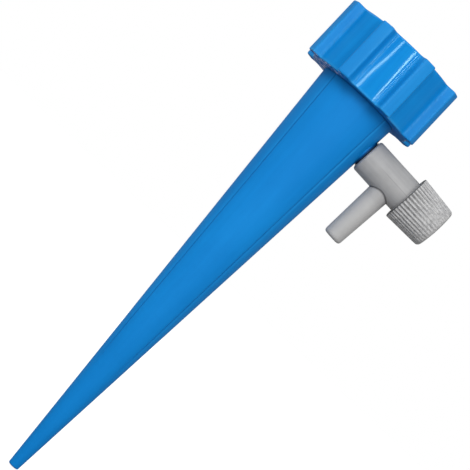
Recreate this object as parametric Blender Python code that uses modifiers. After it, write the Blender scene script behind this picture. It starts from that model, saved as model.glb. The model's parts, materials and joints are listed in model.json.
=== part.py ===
"""Drip watering spike: a hollow soil spike with a fluted screw head for a drinks bottle and a needle valve.

Metres, +Z up. The origin is on the spike's axis at the soil line. The mouth for the bottle points up and
the valve points along +X, a little downwards, square to the wall of the spike.
"""
from math import asin, atan2, cos, pi, radians, sin

import bmesh
import bpy
from mathutils import Vector

# Spike
OVERALL_LENGTH = 0.135
SOIL_DEPTH = 0.080
TIP_RADIUS = 0.00141
TIP_ROUNDING = 0.0004
SPIKE_TOP_RADIUS = 0.01077
SPIKE_WALL = 0.0016
BORE_END_RADIUS = 0.0008
PANEL_RISE = 0.00022
PANEL_START = 0.032
PANEL_FADE = 0.012
PANEL_EDGE_ANGLE = radians(1.2)
SHOULDER_STEP = 0.0005

# Threaded cap, for the 28 mm neck of a drinks bottle
CAP_HEIGHT = 0.0157
CAP_FLOOR = 0.0022
CAP_EDGE = 0.0004
CAP_BORE_RADIUS = 0.01395
CAP_WALL = 0.00105
RIDGE_HEIGHT = 0.00246
RIDGE_COUNT = 8
RIDGE_FACE_WIDTH = 0.0034
RIDGE_FLANK_WIDTH = 0.0005
MOUTH_CHAMFER = 0.0004
THREAD_PITCH = 0.0027
THREAD_DEPTH = 0.0011
THREAD_ROOT_WIDTH = 0.0017
THREAD_CREST_WIDTH = 0.0008
THREAD_ABOVE_SEAT = 0.0026
THREAD_BELOW_RIM = 0.0031
THREAD_RUN_OUT = radians(50)

# Gaskets
BOTTLE_GASKET_THICKNESS = 0.0015
BOTTLE_GASKET_WIDTH = 0.0031
BOTTLE_GASKET_MARGIN = 0.0003
VALVE_GASKET_THICKNESS = 0.0003
VALVE_GASKET_WIDTH = 0.0014

# Valve body
VALVE_BELOW_CAP = 0.00827
BOSS_RISE = 0.0001
BOSS_RADIUS = 0.0036
PLUG_RADIUS = 0.0026
PLUG_BEAD = 0.0004
PLUG_LEAD = 0.0012
BARREL_RADIUS = 0.00458
BARREL_FILLET = 0.0008
BARREL_END_CHAMFER = 0.0003
NOZZLE_FROM_SHOULDER = 0.00852
NOZZLE_REACH = 0.01941
NOZZLE_BASE_RADIUS = 0.00294
NOZZLE_TIP_RADIUS = 0.00246
NOZZLE_ROUNDING = 0.0007
NOZZLE_BORE_RADIUS = 0.0011
INLET_RADIUS = 0.0009
CHAMBER_RADIUS = 0.0021
CHAMBER_BELOW_NOZZLE = 0.0044

# Knob
NOZZLE_TO_KNOB = 0.00195
KNOB_OVERLAP = 0.0069
KNOB_END_WALL = 0.0035
KNOB_SOCKET_FLOOR = 0.0013
KNOB_SKIRT = 0.00148
KNOB_TAPER = 0.00066
KNOB_ROUNDING = 0.0010
KNOB_DOME = 0.0003
KNOB_SERRATIONS = 40
SERRATION_DEPTH = 0.0003

# Spindle and its seal
NEEDLE_SHOULDER = 0.0005
NEEDLE_POINT_RADIUS = 0.0004
NEEDLE_POINT_LENGTH = 0.0022
O_RING_SECTION = 0.0009
O_RING_BELOW_THREAD = 0.0051
GLAND_WALL = 0.0006
SPINDLE_PITCH = 0.0015
SPINDLE_ENGAGEMENT = 0.0042
SPINDLE_THREAD_END = 0.0006
SPINDLE_THREAD_DEPTH = 0.0006
SPINDLE_CREST_WIDTH = 0.00045
SPINDLE_ROOT_WIDTH = 0.00075

# Clearances between pieces
SEAT_GAP = 0.00015
RUNNING_GAP = 0.0003
SEAL_GAP = 0.0001
THREAD_GAP = 0.0002
CORE_GAP = 0.0004

# Facets
SPIKE_STEPS_PER_PANEL = 16
BORE_STEPS = 48
BARREL_STEPS = 40
NOZZLE_STEPS = 28
SMALL_STEPS = 24
RING_STEPS = 36
O_RING_STEPS = 8
ARC_STEPS = 4
KNOB_ARC_STEPS = 3
FLUTE_STEPS = 6
FLANK_STEPS = 4
FACE_STEPS = 3
HEAD_SIDES = 6
EDGE_STEPS = 2
SHARP_ANGLE = radians(35)
MERGE_DISTANCE = 0.000001

# Places along the spike's axis
TIP_Z = -SOIL_DEPTH
RIM_Z = OVERALL_LENGTH - SOIL_DEPTH
CAP_UNDERSIDE_Z = RIM_Z - CAP_HEIGHT
CAP_FLOOR_Z = CAP_UNDERSIDE_Z + CAP_FLOOR
GASKET_SEAT_Z = CAP_FLOOR_Z + SEAT_GAP
BOTTLE_SEAT_Z = GASKET_SEAT_Z + BOTTLE_GASKET_THICKNESS
VALVE_Z = CAP_UNDERSIDE_Z - VALVE_BELOW_CAP

# Radii and slopes about the spike's axis
WALL_SLOPE = (SPIKE_TOP_RADIUS - TIP_RADIUS) / (CAP_UNDERSIDE_Z - TIP_Z)
WALL_ANGLE = atan2(WALL_SLOPE, 1.0)
WALL_ACROSS = SPIKE_WALL / cos(WALL_ANGLE)
SPIGOT_RADIUS = SPIKE_TOP_RADIUS - SHOULDER_STEP
FLUTE_RADIUS = CAP_BORE_RADIUS + CAP_WALL
RIDGE_RADIUS = FLUTE_RADIUS + RIDGE_HEIGHT
THREAD_CREST_RADIUS = CAP_BORE_RADIUS - THREAD_DEPTH

# Distances along the valve's axis from the spike's wall
BARREL_START = BOSS_RISE + SEAL_GAP + VALVE_GASKET_THICKNESS + SEAL_GAP
NOZZLE_DISTANCE = BARREL_START + NOZZLE_FROM_SHOULDER
INLET_SEAT = NOZZLE_DISTANCE - CHAMBER_BELOW_NOZZLE
KNOB_RIM = NOZZLE_DISTANCE + NOZZLE_BASE_RADIUS + NOZZLE_TO_KNOB
BARREL_END = KNOB_RIM + KNOB_OVERLAP
KNOB_CEILING = BARREL_END + RUNNING_GAP
KNOB_END = KNOB_CEILING + KNOB_END_WALL
SOCKET_END = KNOB_END - KNOB_SOCKET_FLOOR
SPINDLE_THREAD_START = BARREL_END - SPINDLE_ENGAGEMENT
O_RING_DISTANCE = SPINDLE_THREAD_START - O_RING_BELOW_THREAD

# Radii about the valve's axis
HOLE_RADIUS = PLUG_RADIUS + SEAT_GAP
KNOB_CAVITY_RADIUS = BARREL_RADIUS + RUNNING_GAP
KNOB_RIM_RADIUS = KNOB_CAVITY_RADIUS + KNOB_SKIRT
KNOB_END_RADIUS = KNOB_RIM_RADIUS - KNOB_TAPER
LAND_RADIUS = CHAMBER_RADIUS - SEAL_GAP
O_RING_SEAT_RADIUS = LAND_RADIUS - O_RING_SECTION - SEAL_GAP
NEEDLE_RADIUS = INLET_RADIUS + NEEDLE_SHOULDER
SPINDLE_CORE_RADIUS = CHAMBER_RADIUS - CORE_GAP


def outer_radius(z):
    """Radius of the spike's side walls at height z."""
    return TIP_RADIUS + WALL_SLOPE * (z - TIP_Z)


def inner_radius(z):
    """Radius of the spike's bore at height z."""
    return outer_radius(z) - WALL_ACROSS


def clear_scene():
    """Start from an empty file."""
    for old in list(bpy.data.objects):
        bpy.data.objects.remove(old, do_unlink=True)


def new_collection(name):
    collection = bpy.data.collections.new(name)
    bpy.context.scene.collection.children.link(collection)
    return collection


def new_object(name, mesh, collection, parent=None):
    """Link a mesh as an object; shapes in the cutters' collection stay out of renders."""
    made = bpy.data.objects.new(name, mesh)
    collection.objects.link(made)
    made.parent = parent
    if collection is CUTTERS:
        made.hide_render = True
        made.display_type = 'WIRE'
    return made


def shade(mesh):
    mesh.shade_smooth()
    mesh.set_sharp_from_angle(angle=SHARP_ANGLE)


def finish(part, colour, roughness):
    """Give a part its own plain plastic or rubber material."""
    material = bpy.data.materials.new(part.name + "_finish")
    material.use_nodes = True
    shader = material.node_tree.nodes["Principled BSDF"]
    shader.inputs["Base Color"].default_value = (*colour, 1.0)
    shader.inputs["Roughness"].default_value = roughness
    shader.inputs["Metallic"].default_value = 0.0
    part.data.materials.append(material)


def arc(centre, radius, start, end, steps=ARC_STEPS):
    """Points of an arc in the (radius, height) plane, from one angle to another, in degrees."""
    angles = [radians(start + (end - start) * i / steps) for i in range(steps + 1)]
    return [(centre[0] + radius * cos(a), centre[1] + radius * sin(a)) for a in angles]


def turned(name, profile, steps, collection, parent=None, ring=False):
    """A profile of (radius, height) points, from top to bottom on its outer side, turned about Z."""
    mesh = bpy.data.meshes.new(name)
    count = len(profile)
    edges = [(i, i + 1) for i in range(count - 1)]
    if ring:
        edges.append((count - 1, 0))
    mesh.from_pydata([(radius, 0.0, height) for radius, height in profile], edges, [])
    made = new_object(name, mesh, collection, parent)
    screw = made.modifiers.new("turn", 'SCREW')
    screw.axis = 'Z'
    screw.steps = steps
    screw.render_steps = steps
    screw.use_merge_vertices = True
    screw.merge_threshold = MERGE_DISTANCE
    screw.use_smooth_shade = True
    return made


def lofted(name, sections, collection, parent=None):
    """A closed body through sections of equal point counts, with a flat face on each end."""
    form = bmesh.new()
    rings = [[form.verts.new(point) for point in section] for section in sections]
    count = len(rings[0])
    for lower, upper in zip(rings, rings[1:]):
        for i in range(count):
            j = (i + 1) % count
            form.faces.new((lower[i], lower[j], upper[j], upper[i]))
    form.faces.new(rings[0])
    form.faces.new(rings[-1])
    bmesh.ops.recalc_face_normals(form, faces=form.faces)
    mesh = bpy.data.meshes.new(name)
    form.to_mesh(mesh)
    form.free()
    shade(mesh)
    return new_object(name, mesh, collection, parent)


def helical_rib(name, profile, pitch, turns, collection, parent=None, end_profile=None):
    """A right-handed thread of (radius, height) profile points about Z, its first section at height 0.

    Over the run-out angle at each end the profile fades into the end profile, if there is one.
    """
    end_profile = end_profile or profile
    total = 2 * pi * turns
    count = max(2, round(SMALL_STEPS * turns))
    sections = []
    for i in range(count + 1):
        angle = total * i / count
        fade = max(0.0, 1.0 - min(angle, total - angle) / THREAD_RUN_OUT)
        rise = pitch * angle / (2 * pi)
        ring = []
        for (radius, height), (end_radius, end_height) in zip(profile, end_profile):
            r = radius + (end_radius - radius) * fade
            z = height + (end_height - height) * fade + rise
            ring.append((r * cos(angle), r * sin(angle), z))
        sections.append(ring)
    return lofted(name, sections, collection, parent)


def cylinder(name, radius, low, high, steps, collection, parent=None):
    """A closed cylinder, or prism for few steps, about Z between two heights."""
    form = bmesh.new()
    made = bmesh.ops.create_cone(
        form, cap_ends=True, segments=steps, radius1=radius, radius2=radius, depth=high - low)
    bmesh.ops.translate(form, verts=made["verts"], vec=(0.0, 0.0, (low + high) / 2))
    mesh = bpy.data.meshes.new(name)
    form.to_mesh(mesh)
    form.free()
    shade(mesh)
    return new_object(name, mesh, collection, parent)


def combine(part, tool, operation):
    """Join a tool body to a part with 'UNION', or cut it out with 'DIFFERENCE'."""
    modifier = part.modifiers.new(tool.name, 'BOOLEAN')
    modifier.operation = operation
    modifier.solver = 'EXACT'
    modifier.object = tool


def outline_solid(name, points, low, high, edge, collection):
    """A flat outline extruded between two heights, with its rims rounded by the edge radius."""
    curve = bpy.data.curves.new(name, 'CURVE')
    curve.dimensions = '2D'
    curve.fill_mode = 'BOTH'
    curve.extrude = (high - low) / 2 - edge
    curve.bevel_depth = edge
    curve.bevel_resolution = EDGE_STEPS
    curve.offset = -edge
    spline = curve.splines.new('POLY')
    spline.points.add(len(points) - 1)
    for point, (x, y) in zip(spline.points, points):
        point.co = (x, y, 0.0, 1.0)
    spline.use_cyclic_u = True
    drawn = bpy.data.objects.new(name + "_outline", curve)
    collection.objects.link(drawn)
    drawn.location = (0.0, 0.0, (low + high) / 2)
    bpy.context.view_layer.update()
    graph = bpy.context.evaluated_depsgraph_get()
    mesh = bpy.data.meshes.new_from_object(drawn.evaluated_get(graph))
    form = bmesh.new()
    form.from_mesh(mesh)
    bmesh.ops.remove_doubles(form, verts=form.verts, dist=MERGE_DISTANCE)
    bmesh.ops.recalc_face_normals(form, faces=form.faces)
    form.to_mesh(mesh)
    form.free()
    mesh.name = name
    shade(mesh)
    made = new_object(name, mesh, collection)
    made.matrix_world = drawn.matrix_world
    bpy.data.objects.remove(drawn, do_unlink=True)
    return made


def panel_section(z, radius, rise):
    """A section of the spike: quarter panels to the front and back stand proud of those at the sides."""
    points = []
    half = pi / 4 - PANEL_EDGE_ANGLE / 2
    for quarter in range(4):
        r = radius + rise * (quarter % 2)
        for i in range(SPIKE_STEPS_PER_PANEL + 1):
            angle = quarter * pi / 2 - half + 2 * half * i / SPIKE_STEPS_PER_PANEL
            points.append((r * cos(angle), r * sin(angle), z))
    return points


def make_spike_cone(valve_axis):
    """The long hollow cone: blunt closed tip, faint panels, a spigot for the cap, a boss for the valve."""
    shoulder_z = CAP_UNDERSIDE_Z - SEAT_GAP
    spigot_z = CAP_FLOOR_Z - SEAT_GAP
    panel_z = TIP_Z + PANEL_START
    sections = []
    for inset, z in arc((TIP_ROUNDING, TIP_Z + TIP_ROUNDING), TIP_ROUNDING, 270, 180):
        sections.append(panel_section(z, outer_radius(z) - inset, 0.0))
    sections.append(panel_section(panel_z, outer_radius(panel_z), 0.0))
    panel_z += PANEL_FADE
    sections.append(panel_section(panel_z, outer_radius(panel_z), PANEL_RISE))
    sections.append(panel_section(shoulder_z, outer_radius(shoulder_z), PANEL_RISE))
    sections.append(panel_section(shoulder_z, SPIGOT_RADIUS, 0.0))
    sections.append(panel_section(spigot_z, SPIGOT_RADIUS, 0.0))
    spike = lofted("spike_cone", sections, PARTS)

    boss = cylinder("valve_boss", BOSS_RADIUS, -BOSS_RADIUS, BOSS_RISE, BARREL_STEPS, CUTTERS, valve_axis)
    bore_top = spigot_z + SPIKE_WALL
    bore_end = TIP_Z + (BORE_END_RADIUS + WALL_ACROSS - TIP_RADIUS) / WALL_SLOPE
    bore_profile = [
        (0.0, bore_top),
        (inner_radius(bore_top), bore_top),
        (BORE_END_RADIUS, bore_end),
        (0.0, bore_end),
    ]
    bore = turned("spike_bore", bore_profile, BORE_STEPS, CUTTERS)
    hole_end = -BOSS_RADIUS - SPIKE_WALL
    hole = cylinder("valve_hole", HOLE_RADIUS, hole_end, SPIKE_WALL, SMALL_STEPS, CUTTERS, valve_axis)
    combine(spike, boss, 'UNION')
    combine(spike, bore, 'DIFFERENCE')
    combine(spike, hole, 'DIFFERENCE')
    finish(spike, (0.012, 0.215, 0.600), 0.42)


def fluted_outline():
    """Grip outline of the cap: raised ridges with short S-shaped flanks, and round flutes between them."""
    sector = 2 * pi / RIDGE_COUNT
    face = RIDGE_FACE_WIDTH / (2 * RIDGE_RADIUS)
    flank = RIDGE_FLANK_WIDTH / FLUTE_RADIUS
    foot = face + flank
    polar = []
    for ridge in range(RIDGE_COUNT):
        middle = (ridge + 0.5) * sector
        rises = []
        for i in range(FLANK_STEPS + 1):
            share = i / FLANK_STEPS
            rises.append((flank * share, RIDGE_HEIGHT * share * share * (3 - 2 * share)))
        polar += [(middle - foot + turn, FLUTE_RADIUS + rise) for turn, rise in rises]
        polar += [(middle - face + 2 * face * i / FACE_STEPS, RIDGE_RADIUS) for i in range(1, FACE_STEPS)]
        polar += [(middle + foot - turn, FLUTE_RADIUS + rise) for turn, rise in reversed(rises)]
        gap = sector - 2 * foot
        polar += [(middle + foot + gap * i / FLUTE_STEPS, FLUTE_RADIUS) for i in range(1, FLUTE_STEPS)]
    return [(radius * cos(angle), radius * sin(angle)) for angle, radius in polar]


def make_threaded_cap():
    """The screw head: a fluted ring with a floor, bored for the bottle's neck, with a thread inside."""
    cap = outline_solid("threaded_cap", fluted_outline(), CAP_UNDERSIDE_Z, RIM_Z, CAP_EDGE, PARTS)
    above = RIM_Z + CAP_FLOOR
    below = CAP_UNDERSIDE_Z - CAP_FLOOR
    mouth_radius = CAP_BORE_RADIUS + MOUTH_CHAMFER
    spigot_hole = SPIGOT_RADIUS + SEAT_GAP
    bore_profile = [
        (0.0, above),
        (mouth_radius, above),
        (mouth_radius, RIM_Z),
        (CAP_BORE_RADIUS, RIM_Z - MOUTH_CHAMFER),
        (CAP_BORE_RADIUS, CAP_FLOOR_Z),
        (spigot_hole, CAP_FLOOR_Z),
        (spigot_hole, below),
        (0.0, below),
    ]
    bore = turned("cap_bore", bore_profile, BORE_STEPS, CUTTERS)
    root_depth = CAP_WALL / 3
    root_radius = CAP_BORE_RADIUS + root_depth
    sunk_radius = CAP_BORE_RADIUS + root_depth / 2
    foot_below = (root_radius, -THREAD_ROOT_WIDTH / 2)
    foot_above = (root_radius, THREAD_ROOT_WIDTH / 2)
    crest = [(THREAD_CREST_RADIUS, -THREAD_CREST_WIDTH / 2), (THREAD_CREST_RADIUS, THREAD_CREST_WIDTH / 2)]
    sunk_crest = [(sunk_radius, height) for radius, height in crest]
    profile = [foot_below, *crest, foot_above]
    end_profile = [foot_below, *sunk_crest, foot_above]
    thread_start = BOTTLE_SEAT_Z + THREAD_ABOVE_SEAT
    turns = (RIM_Z - THREAD_BELOW_RIM - thread_start) / THREAD_PITCH
    thread = helical_rib("bottle_thread", profile, THREAD_PITCH, turns, CUTTERS, end_profile=end_profile)
    thread.location.z = thread_start
    combine(cap, bore, 'DIFFERENCE')
    combine(cap, thread, 'UNION')
    finish(cap, (0.010, 0.200, 0.575), 0.18)


def make_bottle_gasket():
    """The flat rubber washer on the cap's floor, under the lip of the bottle."""
    outer = THREAD_CREST_RADIUS - BOTTLE_GASKET_MARGIN
    inner = outer - BOTTLE_GASKET_WIDTH
    low = GASKET_SEAT_Z
    high = BOTTLE_SEAT_Z
    profile = [(inner, high), (outer, high), (outer, low), (inner, low)]
    gasket = turned("bottle_gasket", profile, BORE_STEPS, PARTS, ring=True)
    finish(gasket, (0.020, 0.020, 0.022), 0.70)


def make_valve_gasket(valve_axis):
    """The thin rubber ring between the boss and the barrel's shoulder."""
    outer = HOLE_RADIUS + VALVE_GASKET_WIDTH
    low = BOSS_RISE + SEAL_GAP
    high = low + VALVE_GASKET_THICKNESS
    profile = [(HOLE_RADIUS, high), (outer, high), (outer, low), (HOLE_RADIUS, low)]
    gasket = turned("valve_gasket", profile, RING_STEPS, PARTS, valve_axis, ring=True)
    finish(gasket, (0.020, 0.020, 0.022), 0.70)


def spindle_thread(name, valve_axis, core, start, turns, gap=0.0):
    """The spindle's thread from a core radius outwards; with a gap it is the groove that it runs in."""
    crest = SPINDLE_CORE_RADIUS + SPINDLE_THREAD_DEPTH + gap
    crest_width = SPINDLE_CREST_WIDTH + 2 * gap
    flank = (SPINDLE_ROOT_WIDTH - SPINDLE_CREST_WIDTH) / SPINDLE_THREAD_DEPTH
    core_width = crest_width + flank * (crest - core)
    profile = [
        (core, -core_width / 2),
        (crest, -crest_width / 2),
        (crest, crest_width / 2),
        (core, core_width / 2),
    ]
    rib = helical_rib(name, profile, SPINDLE_PITCH, turns, CUTTERS, valve_axis)
    rib.location.z = start
    return rib


def make_valve_body(valve_axis):
    """The grey tee: a plug in the boss, the barrel, and the tapered drip nozzle, bored right through."""
    bore_at_valve = inner_radius(VALVE_Z)
    bore_sag = bore_at_valve * (1 - cos(asin((HOLE_RADIUS + PLUG_BEAD) / bore_at_valve)))
    bead_top = -SPIKE_WALL - bore_sag - SEAT_GAP
    plug_end = bead_top - PLUG_LEAD
    fillet = min(BARREL_FILLET, BARREL_RADIUS - PLUG_RADIUS - SEAT_GAP)
    barrel_profile = [
        (0.0, BARREL_END),
        (BARREL_RADIUS - BARREL_END_CHAMFER, BARREL_END),
        (BARREL_RADIUS, BARREL_END - BARREL_END_CHAMFER),
    ]
    barrel_profile += arc((BARREL_RADIUS - fillet, BARREL_START + fillet), fillet, 0, -90)
    barrel_profile += [
        (PLUG_RADIUS, BARREL_START),
        (PLUG_RADIUS, bead_top),
        (PLUG_RADIUS + PLUG_BEAD, bead_top),
        (PLUG_RADIUS, plug_end),
        (0.0, plug_end),
    ]
    body = turned("valve_body", barrel_profile, BARREL_STEPS, PARTS, valve_axis)

    nozzle_axis = bpy.data.objects.new("nozzle_axis", None)
    PARTS.objects.link(nozzle_axis)
    nozzle_axis.parent = valve_axis
    nozzle_axis.location = (0.0, 0.0, NOZZLE_DISTANCE)
    nozzle_axis.rotation_euler = (0.0, pi / 2, 0.0)
    rounding_centre = (NOZZLE_TIP_RADIUS - NOZZLE_ROUNDING, NOZZLE_REACH - NOZZLE_ROUNDING)
    nozzle_profile = [(0.0, NOZZLE_REACH)] + arc(rounding_centre, NOZZLE_ROUNDING, 90, 0)
    nozzle_profile += [(NOZZLE_BASE_RADIUS, CHAMBER_RADIUS), (0.0, CHAMBER_RADIUS)]
    nozzle = turned("drip_nozzle", nozzle_profile, NOZZLE_STEPS, CUTTERS, nozzle_axis)
    beyond = NOZZLE_REACH + NOZZLE_ROUNDING
    outlet = cylinder("nozzle_bore", NOZZLE_BORE_RADIUS, 0.0, beyond, SMALL_STEPS, CUTTERS, nozzle_axis)

    chamber_profile = [
        (0.0, KNOB_CEILING),
        (CHAMBER_RADIUS, KNOB_CEILING),
        (CHAMBER_RADIUS, INLET_SEAT),
        (INLET_RADIUS, INLET_SEAT),
        (INLET_RADIUS, plug_end - PLUG_LEAD),
        (0.0, plug_end - PLUG_LEAD),
    ]
    chamber = turned("valve_chamber", chamber_profile, SMALL_STEPS, CUTTERS, valve_axis)
    core = SPINDLE_CORE_RADIUS
    start = SPINDLE_THREAD_START - SPINDLE_PITCH
    turns = SPINDLE_ENGAGEMENT / SPINDLE_PITCH + 2
    groove = spindle_thread("thread_groove", valve_axis, core, start, turns, THREAD_GAP)
    combine(body, nozzle, 'UNION')
    combine(body, chamber, 'DIFFERENCE')
    combine(body, outlet, 'DIFFERENCE')
    combine(body, groove, 'DIFFERENCE')
    finish(body, (0.400, 0.400, 0.405), 0.38)


def make_valve_spindle(valve_axis):
    """The needle that opens and shuts the inlet: point, gland for the seal, screw thread and knob head."""
    point_slope = NEEDLE_POINT_LENGTH / (NEEDLE_RADIUS - NEEDLE_POINT_RADIUS)
    point_end = INLET_SEAT + SEAT_GAP - point_slope * (INLET_RADIUS - NEEDLE_POINT_RADIUS)
    groove_half = O_RING_SECTION / 2 + SEAT_GAP
    gland_half = groove_half + GLAND_WALL
    core_end = KNOB_CEILING - SEAT_GAP
    profile = [
        (0.0, core_end),
        (SPINDLE_CORE_RADIUS, core_end),
        (SPINDLE_CORE_RADIUS, O_RING_DISTANCE + gland_half),
        (LAND_RADIUS, O_RING_DISTANCE + gland_half),
        (LAND_RADIUS, O_RING_DISTANCE + groove_half),
        (O_RING_SEAT_RADIUS, O_RING_DISTANCE + groove_half),
        (O_RING_SEAT_RADIUS, O_RING_DISTANCE - groove_half),
        (LAND_RADIUS, O_RING_DISTANCE - groove_half),
        (LAND_RADIUS, O_RING_DISTANCE - gland_half),
        (NEEDLE_RADIUS, O_RING_DISTANCE - gland_half),
        (NEEDLE_RADIUS, point_end + NEEDLE_POINT_LENGTH),
        (NEEDLE_POINT_RADIUS, point_end),
        (0.0, point_end),
    ]
    spindle = turned("valve_spindle", profile, SMALL_STEPS, PARTS, valve_axis)
    sunk_core = SPINDLE_CORE_RADIUS - SPINDLE_THREAD_DEPTH / 2
    turns = (SPINDLE_ENGAGEMENT - SPINDLE_THREAD_END) / SPINDLE_PITCH
    thread = spindle_thread("spindle_thread", valve_axis, sunk_core, SPINDLE_THREAD_START, turns)
    head_end = SOCKET_END - SEAT_GAP
    head_start = core_end - SPINDLE_THREAD_END
    head_radius = SPINDLE_CORE_RADIUS
    head = cylinder("spindle_head", head_radius, head_start, head_end, HEAD_SIDES, CUTTERS, valve_axis)
    combine(spindle, thread, 'UNION')
    combine(spindle, head, 'UNION')
    finish(spindle, (0.520, 0.520, 0.510), 0.40)


def make_spindle_o_ring(valve_axis):
    """The rubber ring in the spindle's gland."""
    middle = O_RING_SEAT_RADIUS + SEAL_GAP + O_RING_SECTION / 2
    section = arc((middle, O_RING_DISTANCE), O_RING_SECTION / 2, 90, -270, O_RING_STEPS)[:-1]
    ring = turned("spindle_o_ring", section, SMALL_STEPS, PARTS, valve_axis, ring=True)
    finish(ring, (0.020, 0.020, 0.022), 0.60)


def serrated_section(z, radius, depth):
    """A section of the knob: fine V-shaped serrations about the valve's axis."""
    points = []
    for i in range(2 * KNOB_SERRATIONS):
        angle = pi * i / KNOB_SERRATIONS
        r = radius - depth * (i % 2)
        points.append((r * cos(angle), r * sin(angle), z))
    return points


def make_valve_knob(valve_axis):
    """The serrated cap over the barrel's end, pressed on the spindle's head."""
    slope = (KNOB_END_RADIUS - KNOB_RIM_RADIUS) / (KNOB_END - KNOB_RIM)
    corner_z = KNOB_END - KNOB_DOME - KNOB_ROUNDING
    corner_radius = KNOB_RIM_RADIUS + slope * (corner_z - KNOB_RIM)
    sections = [
        serrated_section(KNOB_RIM, KNOB_RIM_RADIUS - SERRATION_DEPTH, 0.0),
        serrated_section(KNOB_RIM + SERRATION_DEPTH, KNOB_RIM_RADIUS, SERRATION_DEPTH),
    ]
    rounding = arc((corner_radius - KNOB_ROUNDING, corner_z), KNOB_ROUNDING, 0, 90, KNOB_ARC_STEPS)
    for i, (radius, z) in enumerate(rounding):
        sections.append(serrated_section(z, radius, SERRATION_DEPTH * (1 - i / KNOB_ARC_STEPS)))
    sections.append(serrated_section(KNOB_END, KNOB_END_RADIUS / 2, 0.0))
    knob = lofted("valve_knob", sections, PARTS, valve_axis)

    below = KNOB_RIM - KNOB_SKIRT
    radius = KNOB_CAVITY_RADIUS
    cavity = cylinder("knob_cavity", radius, below, KNOB_CEILING, BARREL_STEPS, CUTTERS, valve_axis)
    radius = SPINDLE_CORE_RADIUS + SEAT_GAP
    socket = cylinder("knob_socket", radius, below, SOCKET_END, HEAD_SIDES, CUTTERS, valve_axis)
    combine(knob, cavity, 'DIFFERENCE')
    combine(knob, socket, 'DIFFERENCE')
    finish(knob, (0.400, 0.400, 0.405), 0.40)


clear_scene()
PARTS = new_collection("drip_watering_spike")
CUTTERS = new_collection("cutters")

# The valve's own axis: local Z runs out from the spike's wall, local X runs down along the wall
valve_axis = bpy.data.objects.new("valve_axis", None)
PARTS.objects.link(valve_axis)
valve_axis.location = Vector((outer_radius(VALVE_Z), 0.0, VALVE_Z))
valve_axis.rotation_euler = (0.0, pi / 2 + WALL_ANGLE, 0.0)

make_spike_cone(valve_axis)
make_threaded_cap()
make_bottle_gasket()
make_valve_gasket(valve_axis)
make_valve_body(valve_axis)
make_valve_spindle(valve_axis)
make_spindle_o_ring(valve_axis)
make_valve_knob(valve_axis)
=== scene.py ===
import json
from math import atan2, cos, exp, pi, radians, sin, tan

import bmesh
import bpy
from mathutils import Matrix, Vector


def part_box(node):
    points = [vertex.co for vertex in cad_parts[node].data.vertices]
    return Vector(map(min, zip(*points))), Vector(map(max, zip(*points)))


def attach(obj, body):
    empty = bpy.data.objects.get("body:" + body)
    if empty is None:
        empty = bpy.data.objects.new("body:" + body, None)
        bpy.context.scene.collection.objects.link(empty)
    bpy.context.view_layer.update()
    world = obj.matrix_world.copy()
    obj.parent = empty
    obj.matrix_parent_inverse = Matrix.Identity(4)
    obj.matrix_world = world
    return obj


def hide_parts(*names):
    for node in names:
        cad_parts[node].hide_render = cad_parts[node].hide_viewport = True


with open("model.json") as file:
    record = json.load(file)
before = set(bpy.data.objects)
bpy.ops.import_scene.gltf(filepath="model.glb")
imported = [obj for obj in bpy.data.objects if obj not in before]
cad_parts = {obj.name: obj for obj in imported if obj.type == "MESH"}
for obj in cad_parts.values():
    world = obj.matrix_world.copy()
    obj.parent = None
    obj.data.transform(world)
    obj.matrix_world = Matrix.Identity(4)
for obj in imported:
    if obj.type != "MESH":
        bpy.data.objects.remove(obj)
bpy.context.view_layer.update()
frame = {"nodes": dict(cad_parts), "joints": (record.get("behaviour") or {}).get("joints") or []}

# View
# The photograph is taken level with the spike, at arm's length and straight at its front, with the
# camera rolled so that the spike lies along the picture's diagonal with its head at the top right.
VIEW_DISTANCE = 0.448
VIEW_ANGLE = radians(14.146)
VIEW_ROLL = radians(43.3)
VIEW_AIM = Vector((0.00079, 0.0, -0.00424))
SENSOR_WIDTH = 36.0
NEAREST_SEEN = 0.01

camera_data = bpy.data.cameras.new("camera")
camera_data.sensor_width = SENSOR_WIDTH
camera_data.lens = SENSOR_WIDTH / 2 / tan(VIEW_ANGLE / 2)
camera_data.clip_start = NEAREST_SEEN
camera = bpy.data.objects.new("camera", camera_data)
bpy.context.scene.collection.objects.link(camera)
camera.location = VIEW_AIM - Vector((0.0, VIEW_DISTANCE, 0.0))
camera.rotation_euler = (radians(90), -VIEW_ROLL, 0.0)
bpy.context.scene.camera = camera


# Spike cone
# The long hollow cone that is pushed into the soil, moulded in blue polypropylene with a satin skin.
# Its front and back panels stand a hair proud of the sides, with a fine parting groove along each
# edge, and its top is turned down to a spigot that the cap is pressed on.
SPIKE_TIP_RADIUS = 0.00141
SPIKE_TIP_ROUNDING = 0.0004
SPIKE_TIP_FLAT = 0.0003
SPIKE_TOP_RADIUS = 0.01077
SPIKE_WALL = 0.0016
SPIKE_BORE_END = 0.0008
SPIGOT_RADIUS = 0.01027
SPIGOT_ROUNDING = 0.0002
FIT_GAP = 0.00015
PANEL_RISE = 0.00022
PANEL_START = 0.030
PANEL_FULL = 0.046
PANEL_EDGE_WIDTH = 0.00020
PANEL_GROOVE_WIDTH = 0.00016
PANEL_GROOVE_DEPTH = 0.00022
PANEL_EDGE_STEPS = (
    -0.00050, -0.00030, -0.00020, -0.00012, -0.00006, 0.0,
    0.00005, 0.00010, 0.00015, 0.00020, 0.00026, 0.00034, 0.00050,
)
PANEL_STEPS = 18
FADE_STEPS = 8
BOSS_RADIUS = 0.0036
BOSS_RISE = 0.0001
VALVE_HOLE_RADIUS = 0.00275
HOLE_STEPS = 72
EASE_STEPS = 6
EASE_MARGIN = 1.25
SLIVER_WIDTH = 0.000004
SHARP_EDGE = radians(35)

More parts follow.
